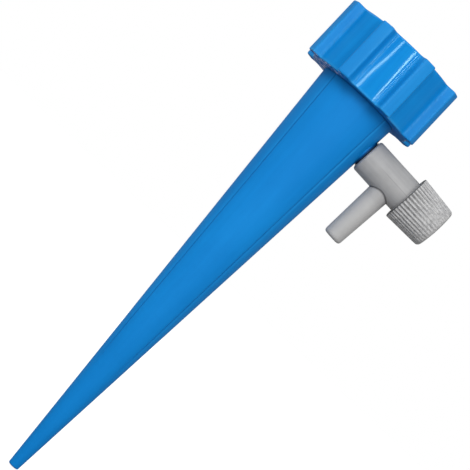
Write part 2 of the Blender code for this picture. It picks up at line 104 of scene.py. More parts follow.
tip_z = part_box("spike_cone")[0].z
spigot_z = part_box("spike_cone")[1].z
cap_underside_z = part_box("threaded_cap")[0].z
rim_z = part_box("threaded_cap")[1].z
shoulder_z = cap_underside_z - FIT_GAP
wall_slope = (SPIKE_TOP_RADIUS - SPIKE_TIP_RADIUS) / (cap_underside_z - tip_z)
wall_across = SPIKE_WALL / cos(atan2(wall_slope, 1.0))

# The valve's own frame: its Z runs out of the spike along the valve, and its X down along the wall
knob_joint = [joint for joint in frame["joints"] if joint["name"] == "knob_turn"][0]
valve_out = Vector(knob_joint["axis"]).normalized()
valve_side = Vector((0.0, 1.0, 0.0))
valve_frame = Matrix((valve_side.cross(valve_out), valve_side, valve_out)).transposed().to_4x4()
valve_frame.translation = Vector(knob_joint["pos_m"])


def smooth_step(low, high, value):
    """0 below low, 1 above high, and a smooth rise between them."""
    share = min(1.0, max(0.0, (value - low) / (high - low)))
    return share * share * (3 - 2 * share)


def eased(corners):
    """Round the corners of a profile, each given as (radius, height, rounding), with short curves.

    A point just beyond each end of a curve keeps the shading of the straight parts straight.
    """
    points = []
    for i, (radius, height, rounding) in enumerate(corners):
        corner = Vector((radius, height))
        if rounding == 0.0:
            points.append(corner)
            continue
        before = Vector(corners[i - 1][:2])
        after = Vector(corners[(i + 1) % len(corners)][:2])
        start = corner + (before - corner).normalized() * rounding
        end = corner + (after - corner).normalized() * rounding
        points.append(corner.lerp(start, EASE_MARGIN))
        for step in range(EASE_STEPS + 1):
            share = step / EASE_STEPS
            points.append(start.lerp(corner, share).lerp(corner.lerp(end, share), share))
        points.append(corner.lerp(end, EASE_MARGIN))
    return points


def skin(name, rings, looped=False):
    """A closed mesh through rings of equal point counts.

    A looped skin joins its last ring to its first; any other gets a flat face on each end.
    """
    form = bmesh.new()
    loops = [[form.verts.new(point) for point in ring] for ring in rings]
    pairs = list(zip(loops, loops[1:]))
    if looped:
        pairs.append((loops[-1], loops[0]))
    else:
        form.faces.new(loops[0])
        form.faces.new(loops[-1])
    for first, second in pairs:
        for i in range(len(first)):
            form.faces.new((first[i - 1], first[i], second[i], second[i - 1]))
    bmesh.ops.recalc_face_normals(form, faces=form.faces)
    mesh = bpy.data.meshes.new(name)
    form.to_mesh(mesh)
    form.free()
    return mesh


def turned(name, profile, steps, looped=False):
    """A profile of (radius, height) points turned about Z; a looped one makes a ring."""
    turns = [2 * pi * i / steps for i in range(steps)]
    rings = []
    for radius, height in profile:
        rings.append([(radius * cos(turn), radius * sin(turn), height) for turn in turns])
    return skin(name, rings, looped)


def add_object(name, mesh, place=Matrix()):
    """An object of a mesh, put in its place by a matrix."""
    made = bpy.data.objects.new(name, mesh)
    bpy.context.scene.collection.objects.link(made)
    made.matrix_world = place
    return made


def combine(piece, mesh, place, operation):
    """Add a shape to a piece with 'UNION', or cut it out with 'DIFFERENCE', and clear away any slivers."""
    tool = add_object(mesh.name, mesh, place)
    change = piece.modifiers.new(mesh.name, 'BOOLEAN')
    change.operation = operation
    change.solver = 'EXACT'
    change.object = tool
    graph = bpy.context.evaluated_depsgraph_get()
    result = bpy.data.meshes.new_from_object(piece.evaluated_get(graph))
    form = bmesh.new()
    form.from_mesh(result)
    bmesh.ops.dissolve_degenerate(form, dist=SLIVER_WIDTH, edges=form.edges)
    form.to_mesh(result)
    form.free()
    piece.modifiers.clear()
    piece.data = result
    bpy.data.objects.remove(tool)


def finish_piece(piece, material, body, node):
    """Shade a piece, give it its material and let it stand for a CAD node on that node's body."""
    piece.data.shade_smooth()
    piece.data.set_sharp_from_angle(angle=SHARP_EDGE)
    piece.data.materials.clear()
    piece.data.materials.append(material)
    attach(piece, body)
    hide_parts(node)


class Value:
    """An output socket of a node tree; sums, differences, products and sizes of Values add Math nodes."""

    def __init__(self, socket):
        self.socket = socket

    def node(self, kind, settings, sockets, output=0):
        """Add a node to the same tree: its settings first, then the values or links of its sockets."""
        tree = self.socket.id_data
        made = tree.nodes.new(kind)
        for name, setting in settings.items():
            setattr(made, name, setting)
        for name, value in sockets.items():
            if isinstance(value, Value):
                tree.links.new(value.socket, made.inputs[name])
            else:
                made.inputs[name].default_value = value
        return Value(made.outputs[output])

    def into(self, node, name):
        """Link this value to a socket of a node that is already there."""
        self.socket.id_data.links.new(self.socket, node.inputs[name])

    def math(self, operation, first, second):
        """Add a Math node on two Values or numbers."""
        return self.node('ShaderNodeMath', {"operation": operation}, {0: first, 1: second})

    def __add__(self, other):
        return self.math('ADD', self, other)

    def __sub__(self, other):
        return self.math('SUBTRACT', self, other)

    def __rsub__(self, other):
        return self.math('SUBTRACT', other, self)

    def __mul__(self, other):
        return self.math('MULTIPLY', self, other)

    def __abs__(self):
        return self.math('ABSOLUTE', self, 0.0)

    __radd__ = __add__
    __rmul__ = __mul__


def new_material(name, specular_level):
    """A Principled material, its shader and the piece's own coordinates in metres."""
    material = bpy.data.materials.new(name)
    material.use_nodes = True
    shader = material.node_tree.nodes["Principled BSDF"]
    shader.inputs["Specular IOR Level"].default_value = specular_level
    coordinates = material.node_tree.nodes.new('ShaderNodeTexCoord')
    return material, shader, Value(coordinates.outputs["Object"])


def noise(place, scale, detail):
    """Soft noise from 0 to 1; the scale is in waves per metre."""
    return place.node('ShaderNodeTexNoise', {}, {"Vector": place, "Scale": scale, "Detail": detail})


def stretched(place, scale, shift=(0.0, 0.0, 0.0)):
    """A place scaled along each axis and then moved; a scale under 1 draws noise out along its axis."""
    return place.node('ShaderNodeMapping', {}, {"Vector": place, "Scale": scale, "Location": shift})


def parted(place):
    """The X, Y and Z of a place."""
    return [place.node('ShaderNodeSeparateXYZ', {}, {"Vector": place}, axis) for axis in range(3)]


def off_axis(first, second):
    """The distance from an axis, of the two coordinates across it."""
    return first.math('SQRT', first * first + second * second, 0.0)


def vector_math(place, operation, other, output=0):
    """A Vector Math node's vector, which is its output 0, or its number, which is its output 1."""
    return place.node('ShaderNodeVectorMath', {"operation": operation}, {0: place, 1: other}, output)


def ramp(value, low, high):
    """0 where a value is below low, 1 where it is above high, smooth between them."""
    settings = {"interpolation_type": 'SMOOTHSTEP'}
    sockets = {"Value": value, "From Min": low, "From Max": high}
    return value.node('ShaderNodeMapRange', settings, sockets)


def mixed(mask, first, second, strength=1.0):
    """The first colour where a mask is 0, and the second at this strength where it is 1."""
    sockets = {0: mask * strength, 6: first, 7: second}
    return mask.node('ShaderNodeMix', {"data_type": 'RGBA'}, sockets, output=2)


def bumped(height, depth):
    """A normal for a surface that stands a height, from 0 to 1, times a depth in metres proud."""
    return height.node('ShaderNodeBump', {}, {"Height": height, "Distance": depth})


def spike_radius(z):
    """The outside radius of the cone's sides at a height."""
    return SPIKE_TIP_RADIUS + wall_slope * (z - tip_z)


def panel_ring(z, radius, rise, groove):
    """A section of the spike: the front and back panels raised, and a groove along their four edges."""
    ring = []
    for quarter in range(4):
        edge = pi / 4 + quarter * pi / 2
        side = 1 if quarter % 2 else -1
        offsets = PANEL_EDGE_STEPS
        if side < 0:
            offsets = [-step for step in reversed(PANEL_EDGE_STEPS)]
        for offset in offsets:
            beyond = side * offset
            lift = rise * (1 - smooth_step(-PANEL_EDGE_WIDTH / 2, PANEL_EDGE_WIDTH / 2, beyond))
            lift -= groove * exp(-((beyond - PANEL_EDGE_WIDTH / 2) / PANEL_GROOVE_WIDTH) ** 2)
            turn = edge + offset / radius
            ring.append(((radius + lift) * cos(turn), (radius + lift) * sin(turn), z))
        start = edge + offsets[-1] / radius
        next_first = -PANEL_EDGE_STEPS[-1] if side > 0 else PANEL_EDGE_STEPS[0]
        end = edge + pi / 2 + next_first / radius
        lift = rise if side < 0 else 0.0
        for i in range(1, PANEL_STEPS):
            turn = start + (end - start) * i / PANEL_STEPS
            ring.append(((radius + lift) * cos(turn), (radius + lift) * sin(turn), z))
    return ring


spike_rings = []
tip_corners = [
    (SPIKE_TIP_FLAT, tip_z, 0.0),
    (SPIKE_TIP_RADIUS, tip_z, SPIKE_TIP_ROUNDING),
    (spike_radius(tip_z + PANEL_START), tip_z + PANEL_START, 0.0),
]
for radius, z in eased(tip_corners):
    spike_rings.append(panel_ring(z, radius, 0.0, 0.0))
for i in range(1, FADE_STEPS + 1):
    z = tip_z + PANEL_START + (PANEL_FULL - PANEL_START) * i / FADE_STEPS
    share = smooth_step(tip_z + PANEL_START, tip_z + PANEL_FULL, z)
    spike_rings.append(panel_ring(z, spike_radius(z), PANEL_RISE * share, PANEL_GROOVE_DEPTH * share))
spike_rings.append(panel_ring(shoulder_z, spike_radius(shoulder_z), PANEL_RISE, PANEL_GROOVE_DEPTH))
bore_end_z = tip_z + (SPIKE_BORE_END + wall_across - SPIKE_TIP_RADIUS) / wall_slope
spigot_corners = [
    (spike_radius(shoulder_z), shoulder_z, 0.0),
    (SPIGOT_RADIUS, shoulder_z, 0.0),
    (SPIGOT_RADIUS, spigot_z, SPIGOT_ROUNDING),
    (spike_radius(spigot_z) - wall_across, spigot_z, SPIGOT_ROUNDING),
    (SPIKE_BORE_END, bore_end_z, 0.0),
]
for radius, z in eased(spigot_corners)[1:]:
    spike_rings.append(panel_ring(z, radius, 0.0, 0.0))
spike = add_object("spike_shell", skin("spike_shell", spike_rings))

boss_corners = [(BOSS_RADIUS, -BOSS_RADIUS, 0.0), (BOSS_RADIUS, BOSS_RISE, 0.0)]
combine(spike, turned("valve_boss", eased(boss_corners), HOLE_STEPS), valve_frame, 'UNION')
hole_corners = [(VALVE_HOLE_RADIUS, -BOSS_RADIUS - SPIKE_WALL, 0.0), (VALVE_HOLE_RADIUS, SPIKE_WALL, 0.0)]
combine(spike, turned("valve_hole", eased(hole_corners), HOLE_STEPS), valve_frame, 'DIFFERENCE')

# The satin skin: slow clouds and fine lengthwise flow lines in the blue, a deeper blue at the tip, painted
# shade in the parting grooves, a painted shadow round the valve's root, a painted highlight beside the
# grooves, and an etched grain
SATIN_DEEP = (0.0030, 0.200, 0.575, 1.0)
SATIN_PALE = (0.0045, 0.226, 0.625, 1.0)
SATIN_TIP = (0.0012, 0.178, 0.530, 1.0)
SATIN_GROOVE_HIGHLIGHT = (0.0160, 0.300, 0.720, 1.0)
SATIN_GROOVE_SHADE = (0.0025, 0.100, 0.340, 1.0)
SATIN_ROOT_SHADOW = (0.0010, 0.032, 0.120, 1.0)
SATIN_GRAIN_DEPTH = 0.000005
TIP_TONE_LENGTH = 0.050
GROOVE_SHADE_REACH = (0.00008, 0.00034)
HIGHLIGHT_START = (0.00040, 0.00060)
HIGHLIGHT_END = (0.00080, 0.00130)
HIGHLIGHT_ACROSS = (-0.002, 0.002)
HIGHLIGHT_ALONG = (0.0, 0.025)
HIGHLIGHT_LEAST = 0.35
ROOT_SHADOW_RISE = (-0.0006, -0.0001)
ROOT_SHADOW_REACH = (0.0042, 0.0054)

satin_blue, satin_shader, place = new_material("satin_blue", specular_level=0.10)
clouds = noise(place, scale=55.0, detail=2.0)
flow_lines = noise(stretched(place, scale=(1.0, 1.0, 0.03)), scale=900.0, detail=2.0)
grain = noise(place, scale=2600.0, detail=2.0)
tone = ramp(clouds * 0.65 + flow_lines * 0.35, low=0.32, high=0.68)
blue = mixed(tone, SATIN_DEEP, SATIN_PALE)
x, y, z = parted(place)
beyond_edge = (abs(x) - abs(y)) * sin(pi / 4)
panelled = ramp(z, tip_z + PANEL_START, tip_z + PANEL_FULL)
off_groove = beyond_edge - PANEL_EDGE_WIDTH / 2
# Painted shade: the parting grooves darkened along their length
panel_groove_shade = (1 - ramp(abs(off_groove), *GROOVE_SHADE_REACH)) * panelled
# Painted highlight: a paler band just outside each groove, stronger towards +X and higher up the spike
painted_highlight = ramp(beyond_edge, *HIGHLIGHT_START) * (1 - ramp(beyond_edge, *HIGHLIGHT_END)) * panelled
painted_highlight = painted_highlight * (HIGHLIGHT_LEAST + ramp(x, *HIGHLIGHT_ACROSS) * (1 - HIGHLIGHT_LEAST))
painted_highlight = painted_highlight * (HIGHLIGHT_LEAST + ramp(z, *HIGHLIGHT_ALONG) * (1 - HIGHLIGHT_LEAST))
valve_root = valve_frame.translation
off_valve = vector_math(place, 'DISTANCE', valve_root, output=1)
along_valve = vector_math(vector_math(place, 'SUBTRACT', valve_root), 'DOT_PRODUCT', valve_out, output=1)
# Painted shadow: the cone darkened round the valve's root
root_shadow = ramp(along_valve, *ROOT_SHADOW_RISE) * (1 - ramp(off_valve, *ROOT_SHADOW_REACH))
blue = mixed(1 - ramp(z, tip_z, tip_z + TIP_TONE_LENGTH), blue, SATIN_TIP, strength=0.6)
blue = mixed(panel_groove_shade, blue, SATIN_GROOVE_SHADE, strength=0.55)
blue = mixed(painted_highlight, blue, SATIN_GROOVE_HIGHLIGHT, strength=0.8)
blue = mixed(root_shadow, blue, SATIN_ROOT_SHADOW, strength=0.9)
blue.into(satin_shader, "Base Color")
(0.46 + grain * 0.08 + flow_lines * 0.06).into(satin_shader, "Roughness")
bumped(grain * 0.8 + flow_lines * 0.2, SATIN_GRAIN_DEPTH).into(satin_shader, "Normal")
finish_piece(spike, satin_blue, "spike", "spike_cone")


# Threaded cap
# The screw head that takes a drinks bottle by its neck, moulded in glossy blue polypropylene with eight
# broad grip ridges and a coarse bottle thread inside. It is pressed and welded on the spike's spigot.
CAP_EDGE = 0.0004
CAP_BORE_RADIUS = 0.01395
CAP_MOUTH_CHAMFER = 0.0004
CAP_MOUTH_EDGE = 0.0001
CAP_CORNER = 0.0003
CAP_FLOOR = 0.0022
FLUTE_RADIUS = 0.0150
RIDGE_HEIGHT = 0.00246
RIDGE_COUNT = 8
RIDGE_FACE_WIDTH = 0.0034
RIDGE_FLANK_WIDTH = 0.0005
RIDGE_FOOT_ROUNDING = 0.0009
RIDGE_CORNER_ROUNDING = 0.0006
FLUTE_STEPS = 6
BOTTLE_THREAD_PITCH = 0.0027
BOTTLE_THREAD_DEPTH = 0.0011
BOTTLE_THREAD_ROOT = 0.0017
BOTTLE_THREAD_CREST = 0.0008
BOTTLE_THREAD_SINK = 0.00035
BOTTLE_THREAD_ROUNDING = 0.00018
BOTTLE_THREAD_BELOW_RIM = 0.0031
BOTTLE_THREAD_ABOVE_FLOOR = 0.00425
THREAD_RUN_OUT = radians(50)
THREAD_STEPS = 64

cap_floor_z = cap_underside_z + CAP_FLOOR


def fluted_outline():
    """Points round the cap with their outward directions: ridges with rounded corners, and round flutes."""
    sector = 2 * pi / RIDGE_COUNT
    face = RIDGE_FACE_WIDTH / 2 / (FLUTE_RADIUS + RIDGE_HEIGHT)
    foot = face + RIDGE_FLANK_WIDTH / FLUTE_RADIUS
    polar = []
    for ridge in range(RIDGE_COUNT):
        middle = (ridge + 0.5) * sector
        polar.append((middle - foot, FLUTE_RADIUS, RIDGE_FOOT_ROUNDING))
        polar.append((middle - face, FLUTE_RADIUS + RIDGE_HEIGHT, RIDGE_CORNER_ROUNDING))
        polar.append((middle, FLUTE_RADIUS + RIDGE_HEIGHT, 0.0))
        polar.append((middle + face, FLUTE_RADIUS + RIDGE_HEIGHT, RIDGE_CORNER_ROUNDING))
        polar.append((middle + foot, FLUTE_RADIUS, RIDGE_FOOT_ROUNDING))
        gap = sector - 2 * foot
        for i in range(1, FLUTE_STEPS):
            polar.append((middle + foot + gap * i / FLUTE_STEPS, FLUTE_RADIUS, 0.0))
    points = eased([(radius * cos(turn), radius * sin(turn), rounding) for turn, radius, rounding in polar])
    outline = []
    for i, point in enumerate(points):
        along = points[(i + 1) % len(points)] - points[i - 1]
        outline.append((point, Vector((along.y, -along.x)).normalized()))
    return outline


def helical_rib(name, section, sunk_section, pitch, turns, start):
    """A thread about Z of a (radius, height) section, which changes to a sunk one at both ends."""
    total = 2 * pi * turns
    count = round(THREAD_STEPS * turns)
    rings = []
    for i in range(count + 1):
        turn = total * i / count
        fade = smooth_step(0.0, 1.0, 1 - min(turn, total - turn) / THREAD_RUN_OUT)
        ring = []
        for proud, sunk in zip(section, sunk_section):
            radius, height = proud.lerp(sunk, fade)
            ring.append((radius * cos(turn), radius * sin(turn), start + height + pitch * turn / 2 / pi))
        rings.append(ring)
    return skin(name, rings)


grip_outline = fluted_outline()
cap_rings = []
for bottom, up in ((cap_underside_z, 1), (rim_z, -1)):
    rounding = []
    for step in range(EASE_STEPS + 1):
        swing = pi / 2 * step / EASE_STEPS
        inset = CAP_EDGE * (1 - sin(swing))
        z = bottom + up * CAP_EDGE * (1 - cos(swing))
        rounding.append([(*(point - outward * inset), z) for point, outward in grip_outline])
    rounding.append([(*point, bottom + up * CAP_EDGE * EASE_MARGIN) for point, outward in grip_outline])
    cap_rings += rounding[::up]
mouth_radius = CAP_BORE_RADIUS + CAP_MOUTH_CHAMFER
spigot_hole = SPIGOT_RADIUS + FIT_GAP
bore_corners = [
    (FLUTE_RADIUS, rim_z, 0.0),
    (mouth_radius, rim_z, CAP_MOUTH_EDGE),
    (CAP_BORE_RADIUS, rim_z - CAP_MOUTH_CHAMFER, CAP_MOUTH_EDGE),
    (CAP_BORE_RADIUS, cap_floor_z, CAP_CORNER),
    (spigot_hole, cap_floor_z, 0.0),
    (spigot_hole, cap_underside_z, 0.0),
]
for radius, z in eased(bore_corners)[1:]:
    cap_rings.append([(*(point.normalized() * radius), z) for point, outward in grip_outline])
cap = add_object("cap_shell", skin("cap_shell", cap_rings, looped=True))

thread_root = CAP_BORE_RADIUS + BOTTLE_THREAD_SINK
thread_crest = CAP_BORE_RADIUS - BOTTLE_THREAD_DEPTH
thread_corners = [
    (thread_root, -BOTTLE_THREAD_ROOT / 2, 0.0),
    (thread_crest, -BOTTLE_THREAD_CREST / 2, BOTTLE_THREAD_ROUNDING),
    (thread_crest, BOTTLE_THREAD_CREST / 2, BOTTLE_THREAD_ROUNDING),
    (thread_root, BOTTLE_THREAD_ROOT / 2, 0.0),
]
thread_section = eased(thread_corners)
sunk_crest = CAP_BORE_RADIUS + BOTTLE_THREAD_SINK / 2
sunk_section = [Vector((max(point.x, sunk_crest), point.y)) for point in thread_section]
thread_low = cap_floor_z + BOTTLE_THREAD_ABOVE_FLOOR
thread_turns = (rim_z - BOTTLE_THREAD_BELOW_RIM - thread_low) / BOTTLE_THREAD_PITCH
bottle_thread = helical_rib(
    "bottle_thread", thread_section, sunk_section, BOTTLE_THREAD_PITCH, thread_turns, thread_low)
combine(cap, bottle_thread, Matrix(), 'UNION')

# The glossy skin: the same blue, with slow ripples that bend the reflections, faint flow clouds, ridges
# that are dull at their feet and duller where they are handled, and a painted highlight in patches along
# the lower edge
GLOSS_TINT = (0.55, 0.93, 1.0, 1.0)
GLOSS_DEEP = (0.0030, 0.208, 0.590, 1.0)
GLOSS_PALE = (0.0050, 0.240, 0.640, 1.0)
GLOSS_EDGE_HIGHLIGHT = (0.0300, 0.330, 0.740, 1.0)
RIPPLE_SHIFT = (0.0474, 0.0186, 0.0142)
RIPPLE_DEPTH = 0.00025
EDGE_HIGHLIGHT_LOW = 0.0003
EDGE_HIGHLIGHT_HIGH = 0.0008
FOOT_RISE = (0.00002, 0.00015)
HANDLED_RISE = (0.0003, 0.0010)

gloss_blue, gloss_shader, place = new_material("gloss_blue", specular_level=0.34)
gloss_shader.inputs["Specular Tint"].default_value = GLOSS_TINT
clouds = noise(place, scale=90.0, detail=2.0)
rippled_place = stretched(place, scale=(1.0, 1.0, 0.3), shift=RIPPLE_SHIFT)
ripples = noise(rippled_place, scale=190.0, detail=0.0)
polish_lines = noise(stretched(place, scale=(1.0, 1.0, 0.03)), scale=1300.0, detail=1.0)
tone = ramp(clouds * 0.6 + polish_lines * 0.4, low=0.30, high=0.70)
blue = mixed(tone, GLOSS_DEEP, GLOSS_PALE)
x, y, z = parted(place)
at_edge = 1 - ramp(z, cap_underside_z + EDGE_HIGHLIGHT_LOW, cap_underside_z + EDGE_HIGHLIGHT_HIGH)
# Painted highlight: a paler band in patches along the cap's lower edge
painted_highlight = at_edge * ramp(clouds, low=0.35, high=0.60)
above_flutes = off_axis(x, y) - FLUTE_RADIUS
at_foot = ramp(above_flutes, *FOOT_RISE)
handled = ramp(above_flutes, *HANDLED_RISE)
mixed(painted_highlight, blue, GLOSS_EDGE_HIGHLIGHT, strength=0.6).into(gloss_shader, "Base Color")
(0.080 + clouds * 0.04 + at_foot * 0.20 + handled * 0.16).into(gloss_shader, "Roughness")
bumped(ripples, RIPPLE_DEPTH).into(gloss_shader, "Normal")
finish_piece(cap, gloss_blue, "spike", "threaded_cap")

# The underside is left as the mould's rough ejector plate gives it, dull, with pale flecks on its left side
# that are partly texture and partly painted light
UNDERSIDE_BLUE = (0.004, 0.170, 0.520, 1.0)
UNDERSIDE_LIT_FLECKS = (0.560, 0.620, 0.800, 1.0)
UNDERSIDE_DEPTH = 0.00008
LIT_FLECKS_ACROSS = (-0.0080, -0.0050)

dull_blue, dull_shader, place = new_material("dull_blue", specular_level=0.10)
speckle = noise(place, scale=1100.0, detail=3.0)
# Pale flecks only on the left side: partly a fleck texture, partly painted light where the underside
# catches light
flecks_and_light = ramp(speckle, low=0.50, high=0.64) * (1 - ramp(parted(place)[0], *LIT_FLECKS_ACROSS))
mixed(flecks_and_light, UNDERSIDE_BLUE, UNDERSIDE_LIT_FLECKS).into(dull_shader, "Base Color")
(0.70 - flecks_and_light * 0.30).into(dull_shader, "Roughness")
bumped(speckle, UNDERSIDE_DEPTH).into(dull_shader, "Normal")
cap.data.materials.append(dull_blue)
for face in cap.data.polygons:
    if face.normal.z < -cos(SHARP_EDGE) and face.center.z < cap_underside_z + CAP_EDGE:
        face.material_index = 1


# Bottle gasket
# The flat black rubber washer that lies loose on the cap's floor and seals the lip of the bottle.
# It is punched from sheet, so its faces are dull and its edges only a little soft.
GASKET_OUTER = 0.01255
GASKET_WIDTH = 0.0031
GASKET_EDGE = 0.00018
RING_STEPS = 128

gasket_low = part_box("bottle_gasket")[0].z
gasket_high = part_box("bottle_gasket")[1].z
gasket_inner = GASKET_OUTER - GASKET_WIDTH


def washer(name, inner, outer, low, high, edge, steps):
    """A flat ring about Z, with its four edges softened."""
    corners = [(inner, low, edge), (outer, low, edge), (outer, high, edge), (inner, high, edge)]
    return turned(name, eased(corners), steps, looped=True)


bottle_gasket_mesh = washer(
    "bottle_washer", gasket_inner, GASKET_OUTER, gasket_low, gasket_high, GASKET_EDGE, RING_STEPS)
bottle_gasket = add_object("bottle_washer", bottle_gasket_mesh)

# Black rubber with a little bloom on it
RUBBER_BLACK = (0.010, 0.010, 0.011, 1.0)
RUBBER_BLOOM = (0.032, 0.032, 0.034, 1.0)
RUBBER_GRAIN_DEPTH = 0.00001

black_rubber, rubber_shader, place = new_material("black_rubber", specular_level=0.3)
bloom = ramp(noise(place, scale=420.0, detail=4.0), low=0.45, high=0.75)
grain = noise(place, scale=3000.0, detail=3.0)
mixed(bloom, RUBBER_BLACK, RUBBER_BLOOM).into(rubber_shader, "Base Color")
(0.58 + bloom * 0.20).into(rubber_shader, "Roughness")
bumped(grain, RUBBER_GRAIN_DEPTH).into(rubber_shader, "Normal")
finish_piece(bottle_gasket, black_rubber, "spike", "bottle_gasket")


# Valve gasket
# The thin black rubber ring squeezed between the spike's boss and the shoulder of the valve's barrel. It is
# stamped from sheet, and only its dark edge shows as a line round the valve's root.
VALVE_GASKET_WIDTH = 0.0011
VALVE_GASKET_GAP = 0.00003
VALVE_GASKET_THICKNESS = 0.00016
VALVE_GASKET_EDGE = 0.00006

ring_outer = VALVE_HOLE_RADIUS + VALVE_GASKET_WIDTH
ring_low = BOSS_RISE + VALVE_GASKET_GAP
ring_high = ring_low + VALVE_GASKET_THICKNESS
valve_gasket_mesh = washer(
    "valve_washer", VALVE_HOLE_RADIUS, ring_outer, ring_low, ring_high, VALVE_GASKET_EDGE, HOLE_STEPS)
valve_gasket = add_object("valve_washer", valve_gasket_mesh, valve_frame)
finish_piece(valve_gasket, black_rubber, "spike", "valve_gasket")


# Valve body
# The grey tee that is pushed into the boss: a barbed plug, a barrel that the spindle screws into, and a
# tapered drip nozzle that points down the spike. One polypropylene moulding with a satin skin.
PLUG_RADIUS = 0.0026
PLUG_BEAD = 0.0004
PLUG_LEAD = 0.0012
PLUG_BEAD_TOP = -0.002355
BARREL_START = 0.00035
BARREL_END = 0.02091
BARREL_RADIUS = 0.00458
BARREL_FILLET = 0.0008
BARREL_END_CHAMFER = 0.0003
NOZZLE_DISTANCE = 0.00912
NOZZLE_REACH = 0.01941
NOZZLE_BASE_RADIUS = 0.00294
NOZZLE_TIP_RADIUS = 0.00246
NOZZLE_ROUNDING = 0.0009
NOZZLE_BORE_RADIUS = 0.0011
NOZZLE_BORE_ROUNDING = 0.0002
INLET_RADIUS = 0.0009
INLET_SEAT = 0.00472
CHAMBER_RADIUS = 0.0021
CHAMBER_END = 0.02121
SPINDLE_THREAD_CREST = 0.0025
SPINDLE_THREAD_CREST_WIDTH = 0.00085
SPINDLE_THREAD_CORE = 0.0017
SPINDLE_THREAD_CORE_WIDTH = 0.00125
SPINDLE_THREAD_PITCH = 0.0015
SPINDLE_THREAD_START = 0.01521
SPINDLE_THREAD_TURNS = 4.8
BARREL_STEPS = 112
NOZZLE_STEPS = 80

barrel_corners = [
    (PLUG_RADIUS, PLUG_BEAD_TOP - PLUG_LEAD, 0.0),
    (PLUG_RADIUS + PLUG_BEAD, PLUG_BEAD_TOP, 0.0),
    (PLUG_RADIUS, PLUG_BEAD_TOP, 0.0),
    (PLUG_RADIUS, BARREL_START, 0.0),
    (BARREL_RADIUS, BARREL_START, BARREL_FILLET),
    (BARREL_RADIUS, BARREL_END - BARREL_END_CHAMFER, 0.0),
    (BARREL_RADIUS - BARREL_END_CHAMFER, BARREL_END, 0.0),
]
valve = add_object("valve_tee", turned("valve_tee", eased(barrel_corners), BARREL_STEPS), valve_frame)

nozzle_corners = [
    (NOZZLE_BASE_RADIUS, CHAMBER_RADIUS, 0.0),
    (NOZZLE_TIP_RADIUS, NOZZLE_REACH, NOZZLE_ROUNDING),
    (NOZZLE_BORE_RADIUS, NOZZLE_REACH, 0.0),
]
nozzle_place = Matrix.Translation((0.0, 0.0, NOZZLE_DISTANCE)) @ Matrix.Rotation(pi / 2, 4, 'Y')
nozzle_frame = valve_frame @ nozzle_place
combine(valve, turned("drip_nozzle", eased(nozzle_corners), NOZZLE_STEPS), nozzle_frame, 'UNION')
chamber_corners = [
    (INLET_RADIUS, PLUG_BEAD_TOP - 2 * PLUG_LEAD, 0.0),
    (INLET_RADIUS, INLET_SEAT, 0.0),
    (CHAMBER_RADIUS, INLET_SEAT, 0.0),
    (CHAMBER_RADIUS, CHAMBER_END, 0.0),
]
combine(valve, turned("valve_chamber", eased(chamber_corners), NOZZLE_STEPS), valve_frame, 'DIFFERENCE')
outlet_corners = [
    (NOZZLE_BORE_RADIUS, 0.0, 0.0),
    (NOZZLE_BORE_RADIUS, NOZZLE_REACH - NOZZLE_BORE_ROUNDING, 0.0),
    (NOZZLE_BORE_RADIUS + NOZZLE_BORE_ROUNDING, NOZZLE_REACH, 0.0),
    (NOZZLE_BORE_RADIUS + NOZZLE_BORE_ROUNDING, NOZZLE_REACH + NOZZLE_ROUNDING, 0.0),
]
combine(valve, turned("nozzle_bore", eased(outlet_corners), NOZZLE_STEPS), nozzle_frame, 'DIFFERENCE')
groove_corners = [
    (SPINDLE_THREAD_CORE, -SPINDLE_THREAD_CORE_WIDTH / 2, 0.0),
    (SPINDLE_THREAD_CREST, -SPINDLE_THREAD_CREST_WIDTH / 2, 0.0),
    (SPINDLE_THREAD_CREST, SPINDLE_THREAD_CREST_WIDTH / 2, 0.0),
    (SPINDLE_THREAD_CORE, SPINDLE_THREAD_CORE_WIDTH / 2, 0.0),
]
groove_section = eased(groove_corners)
thread_groove = helical_rib(
    "thread_groove", groove_section, groove_section,
    SPINDLE_THREAD_PITCH, SPINDLE_THREAD_TURNS, SPINDLE_THREAD_START)
combine(valve, thread_groove, valve_frame, 'DIFFERENCE')

# Grey plastic with faint draw lines along the barrel, a soft mottle, a fine parting line along each side,
# painted shade in the crease where the nozzle meets the barrel, and the nozzle painted paler as painted
# light
GREY_DEEP = (0.335, 0.335, 0.338, 1.0)
GREY_PALE = (0.390, 0.388, 0.388, 1.0)
GREY_NOZZLE_LIT = (0.425, 0.424, 0.422, 1.0)
GREY_PARTING = (0.130, 0.125, 0.125, 1.0)
GREY_CREASE_SHADE = (0.060, 0.060, 0.066, 1.0)
GREY_GRAIN_DEPTH = 0.000008
CREASE_REACH = (0.00005, 0.00035)
CREASE_DOWN = (0.0, 0.002)
NOZZLE_LIGHT_DOWN = (0.0050, 0.0080)
PARTING_WIDTH = (0.00003, 0.00016)
PARTING_SKIN = (-0.0002, 0.0)
PARTING_START = (0.004, 0.008)

grey_satin, grey_shader, place = new_material("grey_satin", specular_level=0.30)
mottle = noise(place, scale=380.0, detail=3.0)
draw_lines = noise(stretched(place, scale=(1.0, 1.0, 0.04)), scale=1100.0, detail=2.0)
grain = noise(place, scale=2400.0, detail=2.0)
tone = ramp(mottle * 0.5 + draw_lines * 0.5, low=0.30, high=0.70)
grey = mixed(tone, GREY_DEEP, GREY_PALE)
x, y, z = parted(place)
off_barrel = off_axis(x, y) - BARREL_RADIUS
off_nozzle = off_axis(y, z - NOZZLE_DISTANCE) - NOZZLE_BASE_RADIUS
# Painted shade in the crease where the nozzle meets the barrel
crease_shade = (1 - ramp(off_barrel, *CREASE_REACH)) * (1 - ramp(off_nozzle, *CREASE_REACH))
crease_shade = crease_shade * ramp(x, *CREASE_DOWN)
parting = (1 - ramp(abs(x), *PARTING_WIDTH)) * ramp(off_barrel, *PARTING_SKIN)
